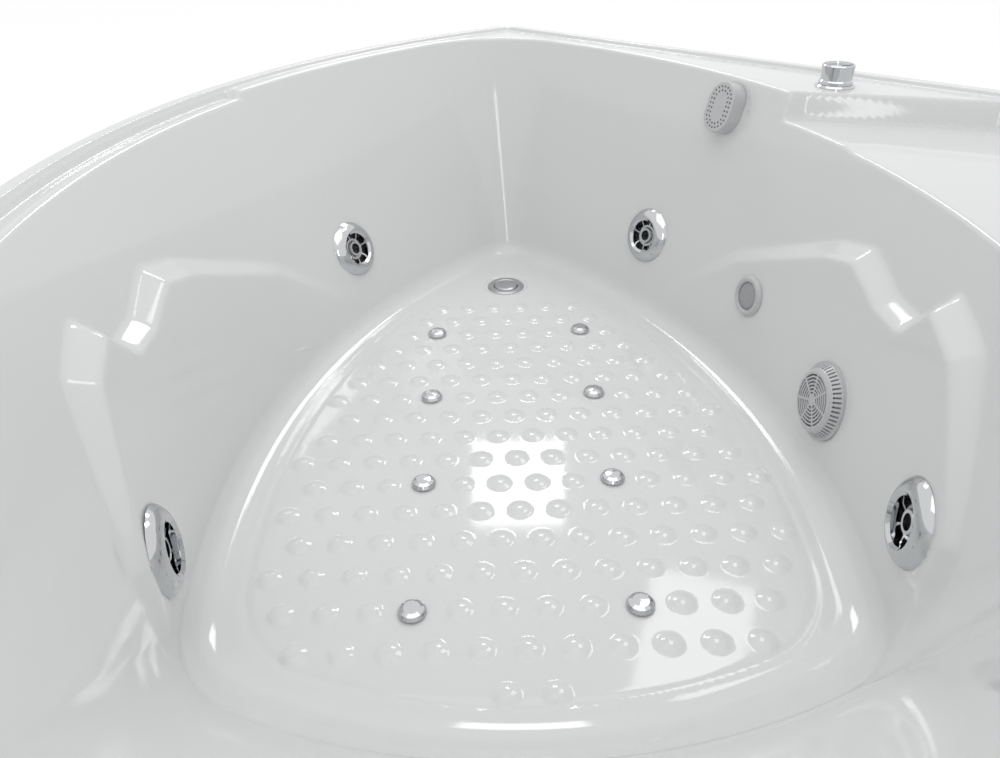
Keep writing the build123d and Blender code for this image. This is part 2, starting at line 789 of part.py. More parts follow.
# Underwater light: housing, lens, trim ring and nut
light_flange = light_radius - 3
light_housing = turned([
    (light_lens_radius, 2), (light_flange, 2), (light_flange, 0), (light_barrel_radius, 0),
    (light_barrel_radius, -30), (8, -30), (8, -40), (0, -40), (0, -28),
    (light_lens_radius - 1, -28), (light_lens_radius - 1, -2), (light_lens_radius, -2),
])
export_node(placed(light_seat, light_housing), "light_housing")
light_lens = turned([
    (0, -2), (light_lens_radius - 0.1, -2), (light_lens_radius - 0.1, 3), (light_lens_radius - 4, 5.5), (0, 7),
])
export_node(placed(light_seat, light_lens), "light_lens")
light_trim = turned([
    (light_lens_radius + 0.1, 2), (light_flange + 0.1, 2), (light_flange + 0.1, 0), (light_radius, 0),
    (light_radius, 3), (light_radius - 4, 7), (light_lens_radius + 2, 7), (light_lens_radius + 0.1, 5),
])
export_node(placed(light_seat, light_trim), "light_trim")
light_nut = rod(light_radius - 1, -wall_seat_depth - 8, -wall_seat_depth, light_barrel_radius)
export_node(placed(light_seat, light_nut), "light_nut")

# Overflow: oval housing on the wall, perforated cover, and the pipe behind
cover_thickness = 3.0
with BuildPart() as overflow_housing:
    with BuildSketch():
        add(overflow_outline(0))
    extrude(amount=overflow_depth - cover_thickness, taper=3)
    with BuildSketch(Plane.XY.offset(3)):
        add(overflow_outline(-4))
    extrude(amount=overflow_depth, taper=3, mode=Mode.SUBTRACT)
    Cylinder(11, 20, mode=Mode.SUBTRACT)
export_node(placed(overflow_seat, overflow_housing.part), "overflow_housing")
with BuildPart() as overflow_cover:
    with BuildSketch(Plane.XY.offset(overflow_depth - cover_thickness)):
        add(overflow_outline(-1.2))
    extrude(amount=cover_thickness)
    fillet(overflow_cover.faces().sort_by(Axis.Z)[-1].edges(), 1.2)
    with BuildSketch(Plane.XY.offset(overflow_depth + 1)) as holes:
        for inset, count in ((8, 26), (14, 20)):
            with BuildLine(mode=Mode.PRIVATE) as row:
                add(overflow_outline(-inset).face().outer_wire())
            with Locations([row.wires()[0] @ (n / count) for n in range(count)]):
                Circle(1.7)
    extrude(amount=-cover_thickness - 2, mode=Mode.SUBTRACT)
export_node(placed(overflow_seat, overflow_cover.part), "overflow_cover")
elbow = overflow_seat.origin - overflow_seat.z_dir * 30
overflow_route = [
    tuple(overflow_seat.origin),
    tuple(elbow),
    (elbow.X, elbow.Y, overflow_pipe_z),
    (drain_x, floor_line_y, overflow_pipe_z),
]
overflow_run, overflow_core = pipe(overflow_route, overflow_pipe_radius, 20)
trap_space = Location((drain_x, floor_line_y, 0)) * rod(trap_radius, trap_bottom_z, 112)
overflow_collar = placed(overflow_seat, rod(22, -wall_seat_depth - 5, -wall_seat_depth))
overflow_pipe = overflow_run + overflow_collar - overflow_core - trap_space
export_node(overflow_pipe, "overflow_pipe")

# Drain: flange with a spider, lifting plug, trap body and waste pipe
drain_top = floor_z
drain_seat_z = floor_z - drain_recess_depth
neck_radius = drain_hole_radius - seat_gap
neck_bore = neck_radius - 3
stem_radius = 4.0
with BuildPart() as drain_flange:
    with BuildSketch(Plane.XZ):
        with BuildLine():
            Polyline(
                (neck_bore, drain_top - 1), (neck_bore + 2, drain_top + 0.5), (drain_flange_radius - 3, drain_top + 0.5),
                (drain_flange_radius, drain_seat_z + 1), (drain_flange_radius, drain_seat_z),
                (neck_radius, drain_seat_z), (neck_radius, 118), (neck_bore, 118), close=True,
            )
        make_face()
    revolve(axis=Axis.Z)
    with BuildSketch(Plane.XY.offset(124)):
        Circle(9)
        with PolarLocations(neck_bore / 2 + 2, 3):
            Rectangle(neck_bore, 3)
        Circle(stem_radius + running_gap, mode=Mode.SUBTRACT)
    extrude(amount=8)
drain_place = Location((drain_x, floor_line_y, 0))
export_node(drain_place * drain_flange.part, "drain_flange")
drain_plug = turned([
    (0, 114), (stem_radius, 114), (stem_radius, drain_top - 4), (drain_plug_radius, drain_top - 2),
    (drain_plug_radius, drain_top), (drain_plug_radius - 3, drain_top + 1.5), (0, drain_top + 2),
])
export_node(drain_place * drain_plug, "drain_plug")
pad_z = floor_underside - drain_pad
drain_body_shape = turned([
    (drain_hole_radius, pad_z), (drain_flange_radius + 5, pad_z), (drain_flange_radius + 5, pad_z - 6),
    (30, pad_z - 6), (30, 112), (trap_radius, 106), (trap_radius, trap_bottom_z), (0, trap_bottom_z),
    (0, trap_bottom_z + 4), (trap_radius - 4, trap_bottom_z + 4), (trap_radius - 4, 104), (drain_hole_radius, 110),
])
waste_reach = (room_corner_y + drain_x - floor_line_y) / math.sqrt(2) - 15
waste_plane = Plane(origin=(drain_x, floor_line_y, waste_z), x_dir=(0, 0, 1), z_dir=(-1, 1, 0))
waste_shoulder = trap_radius + waste_nut_length + waste_shoulder_gap
waste_spigot = rod(waste_spigot_radius, trap_radius - 3, waste_shoulder)
waste_outer = placed(waste_plane, waste_spigot + rod(waste_radius, waste_shoulder, waste_reach))
waste_core = placed(waste_plane, rod(waste_radius - pipe_wall, 20, waste_reach + 1))
drain_body = drain_place * drain_body_shape - waste_core - overflow_core
export_node(drain_body, "drain_body")
waste_pipe = waste_outer - waste_core - trap_space
export_node(waste_pipe, "waste_pipe")
waste_nut = placed(waste_plane, rod(waste_nut_radius, trap_radius - 6, trap_radius + waste_nut_length, waste_spigot_radius))
export_node(waste_nut - trap_space, "waste_nut")

# Air jets: domed caps over flanged bodies, nuts, and the pipes from the blower
air_top = air_pipe_z + 13
air_cap = turned([
    (0, floor_z + 2), (air_cap_radius, floor_z + 2), (air_cap_radius, floor_z + 4), (air_cap_radius - 2.2, floor_z + 7),
    (air_cap_radius - 6.5, floor_z + 9.2), (0, floor_z + 2 + air_cap_height),
])
air_body = turned([
    (6, floor_z + 2), (air_cap_radius - 2.5, floor_z + 2), (air_cap_radius - 2.5, floor_z), (air_barrel_radius, floor_z),
    (air_barrel_radius, air_top), (6, air_top),
])
air_nut = rod(17, floor_underside - 8, floor_underside, air_barrel_radius)
air_places = [Location((x, y, 0)) for x, y in air_jet_points]
export_group([place * air_cap for place in air_places], "air_jet_caps")
export_group([place * air_body for place in air_places], "air_jet_bodies")
export_group([place * air_nut for place in air_places], "air_jet_nuts")

air_pipes, air_cores = pipe([
    (air_jet_x[0] - 20, floor_line_y - air_jet_spacing / 2, air_pipe_z),
    (air_cross_x, floor_line_y - air_jet_spacing / 2, air_pipe_z),
    (air_cross_x, floor_line_y + air_jet_spacing / 2, air_pipe_z),
    (air_jet_x[0] - 20, floor_line_y + air_jet_spacing / 2, air_pipe_z),
], air_pipe_radius, 30)
spigot_plane = Plane(origin=(air_cross_x, axis_y, air_pipe_z), x_dir=(0, 0, 1), z_dir=(1, 0, 0))
air_pipes += placed(spigot_plane, rod(12, 0, 14))
air_cores += placed(spigot_plane, rod(12 - pipe_wall, 0, 15))
for place in air_places:
    air_pipes += place * rod(air_barrel_radius, air_pipe_z, air_top)
    air_cores += place * rod(6, air_pipe_z, air_top + 1)
export_node(air_pipes - air_cores, "air_pipes")

blower_top = board_z
with BuildPart() as air_blower:
    with BuildSketch(Plane.XZ):
        with BuildLine():
            Polyline(
                (0, blower_top), (blower_radius - 6, blower_top), (blower_radius, blower_top - 6),
                (blower_radius, blower_bottom_z + 24), (blower_radius - 18, blower_bottom_z), (0, blower_bottom_z),
                close=True,
            )
        make_face()
    revolve(axis=Axis.Z)
air_blower_body = Location((blower_x, axis_y, 0)) * air_blower.part
air_blower_body += placed(spigot_plane, rod(12, 14, blower_x - air_cross_x))
export_node(air_blower_body, "air_blower")
with BuildPart() as blower_plate:
    with BuildSketch(Plane.XY.offset(board_z)):
        with Locations((blower_x, axis_y)):
            RectangleRounded(180, 2 * long_rail_y + tube_size, 6)
    extrude(amount=plate_thickness)
export_node(blower_plate.part, "blower_plate")

# Air control: a knob on the deck, its flange and valve, and a nut under the deck
knob_place = Location((knob_x, knob_y, deck_z))
valve_radius = knob_radius - 6 - seat_gap
knob_flange = turned([
    (stem_radius + 1 + running_gap, 4), (knob_flange_radius - 3, 4), (knob_flange_radius, 1.5), (knob_flange_radius, 0),
    (valve_radius, 0), (valve_radius, -52), (0, -52), (0, -44), (stem_radius + 1 + running_gap, -44),
])
export_node(knob_place * knob_flange, "knob_flange")
knob_base = 4 + seat_gap
knob_top = knob_base + knob_height
with BuildPart() as air_knob:
    with BuildSketch(Plane.XZ):
        with BuildLine():
            Polyline(
                (0, -42), (stem_radius + 1, -42), (stem_radius + 1, knob_base), (knob_radius + 1, knob_base),
                (knob_radius + 1, knob_base + 4), (knob_radius - 1, knob_base + 6), (knob_radius, knob_top - 1.5),
                (knob_radius - 1.5, knob_top), (knob_radius - 3, knob_top), (knob_radius - 4, knob_top - 3), (0, knob_top - 3),
                close=True,
            )
        make_face()
    revolve(axis=Axis.Z)
    with Locations((0, knob_radius / 2, knob_top - 3)):
        Box(2.4, knob_radius - 8, 1.6, align=(Align.CENTER, Align.CENTER, Align.MIN))
export_node(knob_place * air_knob.part, "air_knob")
knob_nut = rod(24, -shell_thickness - 9, -shell_thickness, valve_radius)
export_node(knob_place * knob_nut, "knob_nut")
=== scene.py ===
import json
import math

import bpy
import numpy as np
from mathutils import Matrix, Vector
from mathutils.geometry import delaunay_2d_cdt


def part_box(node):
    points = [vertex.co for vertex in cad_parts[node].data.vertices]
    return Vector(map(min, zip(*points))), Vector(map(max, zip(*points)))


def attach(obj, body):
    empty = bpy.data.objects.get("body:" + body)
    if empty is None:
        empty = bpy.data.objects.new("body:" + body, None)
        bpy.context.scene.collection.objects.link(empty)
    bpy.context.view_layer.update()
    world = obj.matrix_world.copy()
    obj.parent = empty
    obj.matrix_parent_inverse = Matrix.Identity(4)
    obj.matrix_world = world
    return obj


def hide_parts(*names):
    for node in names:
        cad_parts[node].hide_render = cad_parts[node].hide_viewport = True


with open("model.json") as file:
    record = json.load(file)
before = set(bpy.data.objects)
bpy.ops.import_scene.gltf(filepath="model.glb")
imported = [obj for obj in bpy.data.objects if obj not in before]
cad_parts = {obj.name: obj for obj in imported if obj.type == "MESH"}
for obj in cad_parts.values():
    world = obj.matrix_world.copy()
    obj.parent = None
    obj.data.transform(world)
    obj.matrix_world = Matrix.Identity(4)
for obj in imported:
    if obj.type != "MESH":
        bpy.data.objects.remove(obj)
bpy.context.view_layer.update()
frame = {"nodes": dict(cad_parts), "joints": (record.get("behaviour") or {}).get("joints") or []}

# Sizes of the shell in millimetres, as the tub is drawn. X runs to the head
# end, Y to the room corner and Z up, with the floor of the room at 0.
wall_length = 1350.0
front_radius = 1080.0
axis_y = -210.0
floor_z = 155.0
deck_z = 554.0
ridge_height = 6.0
ridge_width = 20.0
ridge_gap = 45.0
skirt_depth = 60.0
shell_thickness = 5.6
foot_side_radius = 1080.0
foot_side_x = 90.0
foot_half_width = 371.0
foot_end_x = 422.0
foot_end_radius = 700.0
foot_far_round = 60.0
foot_near_round = 130.0
floor_fillet = 42.0
end_fillet = 100.0
side_wall_angle = math.radians(74.0)
end_wall_angle = math.radians(52.0)
deck_width_front = 40.0
top_side_radius = 1150.0
top_side_x = 60.0
top_half_width = 476.0
top_end_x = 740.0
top_end_y = -300.0
top_end_radius = 620.0
top_far_round = 170.0
top_near_round = 150.0
seat_drop = 37.0
seat_margin = 42.0
seat_neck_x = 245.0
seat_throat_x = 333.0
seat_throat_y = 215.0
seat_round = 40.0
ledge_drop = 10.0
ledge_width = 16.0
ledge_reach = 440.0
bolster_depth = 35.0
bolster_outline = [
    (-470, 100), (-470, 155), (-290, 326), (-110, 412), (-50, 428), (30, 404),
    (85, 404), (120, 451), (200, 430), (285, 357), (335, 310), (352, 250), (356, 155), (356, 100),
]
floor_line_y = -216.0
drain_x = -551.0
drain_recess_radius = 42.0
drain_recess_depth = 3.0
drain_hole_radius = 24.0
air_jet_spacing = 248.0
air_jet_x = (-363.0, -166.0, 37.0, 251.0)

corner_x = wall_length / math.sqrt(2)
front_sagitta = front_radius - math.sqrt(front_radius**2 - corner_x**2)
room_corner_y = (corner_x + front_sagitta) / 2
chord_y = room_corner_y - corner_x
front_centre_y = chord_y + math.sqrt(front_radius**2 - corner_x**2)

# The moulded surface: how soft its steps are, and the anti-slip field
bolster_step = 17.0
bolster_soft = 5.0
seat_step = 9.0
ledge_step = 5.0
ridge_step = 4.0
rim_round = 6.0
edge_round = 3.5
dome_radius = 15.5
dome_height = 3.2
dome_pitch_y = 48.6
dome_rows = 17
dome_row_start = -455.0
dome_row_pitch = 47.2
dome_row_spread = 0.22
field_side_inset = 44.0
field_end_inset = 52.0
field_corner = 70.0
groove_depth = 0.9
groove_width = 5.0


def circle_meet(first, second, toward):
    """The point where two circles (x, y, r) cross, on the side of toward."""
    ax, ay, ar = first
    bx, by, br = second
    gap = math.hypot(bx - ax, by - ay)
    along = (ar**2 - br**2 + gap**2) / (2 * gap)
    across = math.sqrt(max(ar**2 - along**2, 0))
    ux, uy = (bx - ax) / gap, (by - ay) / gap
    points = [(ax + along * ux - s * across * uy, ay + along * uy + s * across * ux) for s in (1, -1)]
    return min(points, key=lambda p: math.dist(p, toward))


def bearing(centre, point):
    return math.atan2(point[1] - centre[1], point[0] - centre[0])


edge_counts = (46, 330, 56, 90, 56, 330)


def rounded_outline(left, right, end, far_round, near_round):
    """Points round the basin: the drain corner, front side, head end and rear side."""
    far = circle_meet((*left[:2], left[2] - far_round), (*right[:2], right[2] - far_round), (-wall_length, axis_y))
    near_left = circle_meet((*left[:2], left[2] - near_round), (*end[:2], end[2] - near_round), (wall_length, -wall_length))
    near_right = circle_meet((*right[:2], right[2] - near_round), (*end[:2], end[2] - near_round), (wall_length, wall_length))
    arcs = [
        (far, far_round, bearing(right, far), bearing(left, far)),
        (left[:2], left[2], bearing(left, far), bearing(left, near_left)),
        (near_left, near_round, bearing(left, near_left), bearing(end, near_left)),
        (end[:2], end[2], bearing(end, near_left), bearing(end, near_right)),
        (near_right, near_round, bearing(end, near_right), bearing(right, near_right)),
        (right[:2], right[2], bearing(right, near_right), bearing(right, far)),
    ]
    points = []
    for (centre, radius, start, stop), count in zip(arcs, edge_counts):
        while stop < start:
            stop += 2 * math.pi
        turn = start + (stop - start) * np.arange(count) / count
        points.append(np.stack([centre[0] + radius * np.cos(turn), centre[1] + radius * np.sin(turn)], 1))
    return np.concatenate(points)


def foot_circles(side_grow, end_grow):
    offset_y = foot_side_radius - foot_half_width
    return (
        (foot_side_x, axis_y + offset_y, foot_side_radius + side_grow),
        (foot_side_x, axis_y - offset_y, foot_side_radius + side_grow),
        (foot_end_x - foot_end_radius, axis_y, foot_end_radius + end_grow),
    )


def foot_outline(side_grow, end_grow):
    return rounded_outline(*foot_circles(side_grow, end_grow), foot_far_round + side_grow, foot_near_round + side_grow)


def top_outline(grow):
    return rounded_outline(
        (0, front_centre_y, front_radius - deck_width_front + grow),
        (top_side_x, axis_y + top_half_width - top_side_radius, top_side_radius + grow),
        (top_end_x - top_end_radius, top_end_y, top_end_radius + grow),
        top_far_round + grow,
        top_near_round + grow,
    )


def fillet_reach(radius, wall_angle, rise):
    """How far a rounded floor edge reaches past the foot line at a height above the floor."""
    turn = min(math.acos((radius - rise) / radius), wall_angle)
    return radius * math.sin(turn) - radius * math.tan(wall_angle / 2)


def ease(t):
    """A smooth step from 0 to 1."""
    t = np.clip(t, 0, 1)
    return t * t * (3 - 2 * t)


def inside_distance(points, corners):
    """Distance of points from a polygon's edge, positive inside it."""
    px, py = points[..., 0], points[..., 1]
    nearest = np.full(px.shape, 1e9)
    crossings = np.zeros(px.shape, int)
    for (ax, ay), (bx, by) in zip(corners, corners[1:] + corners[:1]):
        ux, uy = bx - ax, by - ay
        along = np.clip(((px - ax) * ux + (py - ay) * uy) / (ux * ux + uy * uy), 0, 1)
        nearest = np.minimum(nearest, np.hypot(px - ax - along * ux, py - ay - along * uy))
        spans = (ay > py) != (by > py)
        with np.errstate(divide="ignore", invalid="ignore"):
            crossings += spans & (px < ax + (py - ay) * ux / (uy if uy else 1e-12))
    return np.where(crossings % 2 == 1, nearest, -nearest)


def rounded_corners(corners, radius, steps=8):
    """A polygon with its corners rounded."""
    made = []
    for before, at, after in zip(corners[-1:] + corners[:-1], corners, corners[1:] + corners[:1]):
        a, p, b = (np.array(q, float) for q in (before, at, after))
        u, v = (a - p) / np.linalg.norm(a - p), (b - p) / np.linalg.norm(b - p)
        half = math.acos(max(-1, min(1, float(u @ v)))) / 2
        reach = min(radius / math.tan(half), 0.45 * np.linalg.norm(a - p), 0.45 * np.linalg.norm(b - p))
        for step in range(steps + 1):
            t = step / steps
            q = (1 - t) ** 2 * (p + u * reach) + 2 * t * (1 - t) * p + t * t * (p + v * reach)
            made.append((float(q[0]), float(q[1])))
    return made


seat_corner_y = room_corner_y - seat_margin * math.sqrt(2)
seat_side = [(seat_throat_x, 60.0), (seat_throat_x, seat_throat_y), (seat_neck_x, seat_corner_y - seat_neck_x), (0, seat_corner_y)]
seat_corners = rounded_corners(seat_side + [(-x, y) for x, y in reversed(seat_side[:3])], seat_round)
soft_bolster = rounded_corners([(float(x), float(z)) for x, z in bolster_outline], 16.0)
hollow_corners = rounded_corners([(-186, 120), (-186, 262), (-100, 420), (0, 560), (100, 420), (186, 262), (186, 120)], 60)


def edge_distance(x, y):
    """Distance in from the tub's outside edge."""
    walls = (room_corner_y - y - np.abs(x)) / math.sqrt(2)
    front = front_radius - np.hypot(x, y - front_centre_y)
    return np.minimum(walls, front)


def deck_height(x, y):
    """Height of the deck: ridge, corner seat and front ledge."""
    inset = edge_distance(x, y)
    ridge = ridge_height * ease((ridge_width + ridge_step / 2 - inset) / ridge_step)
    for tip in (corner_x, -corner_x):
        away = np.hypot(x - tip, y - chord_y)
        ridge = ridge * ease((away - ridge_gap / 2 + 2) / 5)
    points = np.stack([x, y], -1)
    seat = seat_drop * ease(0.5 + inside_distance(points, seat_corners) / seat_step)
    hollow = 2.6 * ease(0.5 + inside_distance(points, hollow_corners) / 22)
    ring = front_radius - deck_width_front + ledge_width - np.hypot(x, y - front_centre_y)
    ends = ledge_reach - np.abs(x)
    ledge = ledge_drop * ease(0.5 + np.minimum(ring, ends) / ledge_step) * (y < chord_y)
    return deck_z + ridge - seat - hollow - ledge


def field_distance(x, y):
    """Distance in from the edge of the anti-slip field, with rounded corners."""
    parts = [r - np.hypot(x - cx, y - cy) for cx, cy, r in foot_circles(-field_side_inset, -field_end_inset)]
    least = parts[0]
    for other in parts[1:]:
        mix = np.clip(0.5 + 0.5 * (other - least) / field_corner, 0, 1)
        least = other * (1 - mix) + least * mix - field_corner * mix * (1 - mix)
    return least


air_jet_points = [(x, floor_line_y + s * air_jet_spacing / 2) for x in air_jet_x for s in (-1, 1)]
dome_points = []
for row in range(dome_rows):
    x = dome_row_start + dome_row_pitch * row + dome_row_spread * row**2
    for column in range(-7, 8):
        y = floor_line_y + dome_pitch_y * (column + 0.5 * ((row + 1) % 2))
        clear = all(math.dist((x, y), jet) > 1.4 * dome_radius for jet in air_jet_points)
        if clear and float(field_distance(np.float64(x), np.float64(y))) > 0.75 * dome_radius:
            dome_points.append((x, y))


def floor_height(x, y):
    """Height of the basin floor: domes, field groove and drain recess."""
    height = np.full(x.shape, floor_z)
    for cx, cy in dome_points:
        near = (np.abs(x - cx) < dome_radius) & (np.abs(y - cy) < dome_radius)
        away = np.hypot(x[near] - cx, y[near] - cy) / dome_radius
        cap = np.clip(1 - away**2, 0, 1)
        height[near] += dome_height * cap * ease((1 - away) / 0.25 + 0.35)
    groove = field_distance(x, y) / groove_width
    height -= groove_depth * np.exp(-(groove**2)) * ease((x + 520) / 120)
    away = np.hypot(x - drain_x, y - floor_line_y)
    return height - drain_recess_depth * ease(0.5 + (drain_recess_radius - away) / 4)


def through_wall(front, back):
    """A wall fitting's middle and its way out of the wall, from two of its rings."""
    ends = [sum(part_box(name), Vector()) / 2 for name in (front, back)]
    return np.array(ends[0]) * 1000, np.array((ends[0] - ends[1]).normalized())


fittings = []
for joint in frame["joints"]:
    if joint["name"].startswith("jet_trim"):
        fittings.append((np.array(joint["pos_m"]) * 1000, np.array(joint["axis"]), 48.5, 32.0, 0.0))
for front, back, flat, hole in (("light_trim", "light_nut", 32.0, 21.0), ("suction_cover", "suction_nut", 52.0, 33.0), ("overflow_cover", "overflow_housing", 41.0, 13.0)):
    middle, outward = through_wall(front, back)
    fittings.append((middle, outward, flat, hole, None))

# The basin wall as rows of points, from the floor's edge to the rim
fillet_rows, wall_rows, upper_rows, rim_rows = 12, 118, 18, 6
level_margin = 0.012
rows = []
for row in range(fillet_rows + 1):
    turn = side_wall_angle * row / fillet_rows
    rise = floor_fillet * (1 - math.cos(turn))
    plan = foot_outline(fillet_reach(floor_fillet, side_wall_angle, rise), fillet_reach(end_fillet, end_wall_angle, rise))
    rows.append(np.column_stack([plan, np.full(len(plan), floor_z + rise)]))
columns = len(rows[0])
wall_foot = rows[-1]
wall_top = np.column_stack([top_outline(0), np.full(columns, deck_z)])
bolster_top = np.column_stack([top_outline(-bolster_depth), np.full(columns, deck_z)])


def wall_point(share):
    """Points on the wall, each column a share of its way from foot to deck."""
    share = np.asarray(share, float)[:, None]
    plain = wall_foot + (wall_top - wall_foot) * share
    filled = wall_foot + (bolster_top - wall_foot) * share
    depth = inside_distance(plain[:, [0, 2]], soft_bolster)
    ramp = np.clip((depth + bolster_soft) / bolster_step, -1, 2)
    full = 0.5 * (np.sqrt(ramp**2 + 0.02) - np.sqrt((ramp - 1) ** 2 + 0.02) + 1)
    full = np.clip((full - 0.004) / 0.992, 0, 1)
    at_head = ease((plain[:, 0] + 470) / 260)
    return plain + (filled - plain) * (full * at_head)[:, None]


rim_share = np.full(columns, 1.0)
for _ in range(40):
    spot = wall_point(rim_share)
    wanted = (deck_height(spot[:, 0], spot[:, 1]) - wall_foot[:, 2]) / (deck_z - wall_foot[:, 2])
    rim_share += 0.35 * (wanted - rim_share)
wall_rise = rim_share - rim_round / (deck_z - wall_foot[:, 2])
level_share = float(wall_rise.min()) - level_margin
level_rows = wall_rows - upper_rows
for row in range(1, level_rows + 1):
    rows.append(wall_point(np.full(columns, level_share * row / level_rows)))
for row in range(1, upper_rows + 1):
    rows.append(wall_point(level_share + (wall_rise - level_share) * row / upper_rows))
below, rim = rows[-1], wall_point(rim_share)
along = np.roll(rim, -2, 0) - np.roll(rim, 2, 0)
outward = np.column_stack([along[:, 1], -along[:, 0]]) / np.hypot(along[:, 0], along[:, 1])[:, None]
for _ in range(6):
    outward = outward + np.roll(outward, 1, 0) + np.roll(outward, -1, 0)
    outward /= np.linalg.norm(outward, axis=1)[:, None]
onto = rim.copy()
onto[:, :2] += outward * rim_round
onto[:, 2] = deck_height(onto[:, 0], onto[:, 1])
for row in range(1, rim_rows + 1):
    t = row / rim_rows
    rows.append((1 - t) ** 2 * below + 2 * t * (1 - t) * rim + t * t * onto)

shell_points = np.concatenate(rows)
row_count = len(rows)
shell_faces = []
for row in range(row_count - 1):
    a = row * columns + np.arange(columns)
    b = row * columns + (np.arange(columns) + 1) % columns
    shell_faces.append(np.column_stack([a + columns, b + columns, b, a]))
wall_faces = np.concatenate(shell_faces)

# Spot faces and holes where the fittings pass through the wall
for middle, way, flat, hole, height in fittings:
    offset = shell_points - middle
    lift = offset @ way
    away = np.linalg.norm(offset - lift[:, None] * way, axis=1)
    if height is None:
        touching = (away < hole + 12) & (np.abs(lift) < 40)
        height = float(np.median(lift[touching]))
    seat = (away < flat) & (np.abs(lift - height) < 14) & (lift > height)
    shell_points[seat] -= (lift[seat] - height)[:, None] * way
    centres = shell_points[wall_faces].mean(1) - middle
    lift = centres @ way
    away = np.linalg.norm(centres - lift[:, None] * way, axis=1)
    wall_faces = wall_faces[(away > hole) | (np.abs(lift) > 40)]

# The outer band: skirt, rounded edge, ridge and the start of the deck
band_insets = [0, 0, 0.5, 1.6, edge_round, 8, 14, 17, 18, 19, 20, 21, 22, 23, 24, 25, 26, 27, 28, 30]
band_counts = (270, 270, 380)


def footprint(inset):
    """The tub's outline from above, drawn in from its edge."""
    radius = front_radius - inset
    corner_y = room_corner_y - inset * math.sqrt(2)
    rise = corner_y - front_centre_y
    side = (math.sqrt(2) * rise + math.sqrt(4 * radius**2 - 2 * rise**2)) / 2
    end_x, end_y = side / math.sqrt(2), corner_y - side / math.sqrt(2)
    right, top, left = np.array([end_x, end_y]), np.array([0, corner_y]), np.array([-end_x, end_y])
    steps = [np.arange(count)[:, None] / count for count in band_counts]
    start = math.atan2(end_y - front_centre_y, -end_x) % (2 * math.pi)
    stop = math.atan2(end_y - front_centre_y, end_x) % (2 * math.pi)
    turn = start + (stop - start) * steps[2][:, 0]
    arc = np.column_stack([radius * np.cos(turn), front_centre_y + radius * np.sin(turn)])
    return np.concatenate([right + (top - right) * steps[0], top + (left - top) * steps[1], arc])


band_rows = []
for number, inset in enumerate(band_insets):
    plan = footprint(inset)
    edge = footprint(edge_round)
    height = deck_height(edge[:, 0], edge[:, 1])
    if number == 0:
        height = np.full(len(plan), deck_z - skirt_depth)
    elif inset < edge_round:
        height = height - edge_round + math.sqrt(edge_round**2 - (edge_round - inset) ** 2)
    else:
        height = deck_height(plan[:, 0], plan[:, 1])
    band_rows.append(np.column_stack([plan, height]))
band_columns = len(band_rows[0])
band_start = len(shell_points)
band_faces = []
for row in range(len(band_rows) - 1):
    a = band_start + row * band_columns + np.arange(band_columns)
    b = band_start + row * band_columns + (np.arange(band_columns) + 1) % band_columns
    band_faces.append(np.column_stack([a, b, b + band_columns, a + band_columns]))
shell_points = np.concatenate([shell_points, *band_rows])


def grid(low, high, pitch):
    """Points of a triangular grid."""
    xs = np.arange(low[0], high[0], pitch)
    ys = np.arange(low[1], high[1], pitch * math.sqrt(3) / 2)
    x, y = np.meshgrid(xs, ys)
    x = x + pitch / 2 * (np.arange(len(ys)) % 2)[:, None]
    return np.column_stack([x.ravel(), y.ravel()])


def patch(loops, loop_ids, inner_points, height, hole):
    """A surface between closed loops of the shell, with its own points inside."""
    global shell_points
    first = len(shell_points)
    ids = np.concatenate(loop_ids + [first + np.arange(len(inner_points))])
    plan = np.concatenate(loops + [inner_points])
    edges, start = [], 0
    for loop in loops:
        count = len(loop)
        edges += [(start + i, start + (i + 1) % count) for i in range(count)]
        start += count
    raised = np.column_stack([inner_points, height(inner_points[:, 0], inner_points[:, 1])])
    shell_points = np.concatenate([shell_points, raised])
    points, _, faces, origins, _, _ = delaunay_2d_cdt([Vector(p) for p in plan], edges, [], 0, 1e-5, True)
    flat = np.array([tuple(p) for p in points])
    triangles = np.array([list(face) for face in faces])
    middles = flat[triangles].mean(1)
    keep = hole(middles)
    crossings = [number for number, origin in enumerate(origins) if not origin]
    source = np.array([ids[origin[0]] if origin else -1 for origin in origins])
    if crossings:
        source[crossings] = len(shell_points) + np.arange(len(crossings))
        spots = flat[crossings]
        shell_points = np.concatenate([shell_points, np.column_stack([spots, height(spots[:, 0], spots[:, 1])])])
        print("crossings", len(crossings), spots.tolist()[:12])
    return source[triangles[keep]]


def loop_distance(points, loop):
    corners = [tuple(p) for p in loop]
    return np.concatenate([inside_distance(part, corners) for part in np.array_split(points, 12)])


floor_loop = rows[0][:, :2]
coarse = grid(floor_loop.min(0), floor_loop.max(0), 3.2)
coarse = coarse[loop_distance(coarse, floor_loop) > 2.2]
near_hole = lambda p: np.hypot(p[:, 0] - drain_x, p[:, 1] - floor_line_y)
floor_faces = patch(
    [floor_loop], [np.arange(columns)], coarse, floor_height,
    lambda p: (loop_distance(p, floor_loop) > 0) & (near_hole(p) > drain_hole_radius),
)

rim_loop = rows[-1][:, :2]
band_loop = band_rows[-1][:, :2]
rim_ids = (row_count - 1) * columns + np.arange(columns)
band_ids = band_start + (len(band_rows) - 1) * band_columns + np.arange(band_columns)
low, high = band_loop.min(0), band_loop.max(0)


def on_deck(points, margin):
    return (edge_distance(points[:, 0], points[:, 1]) > 30 + margin) & (loop_distance(points, rim_loop) < -margin)


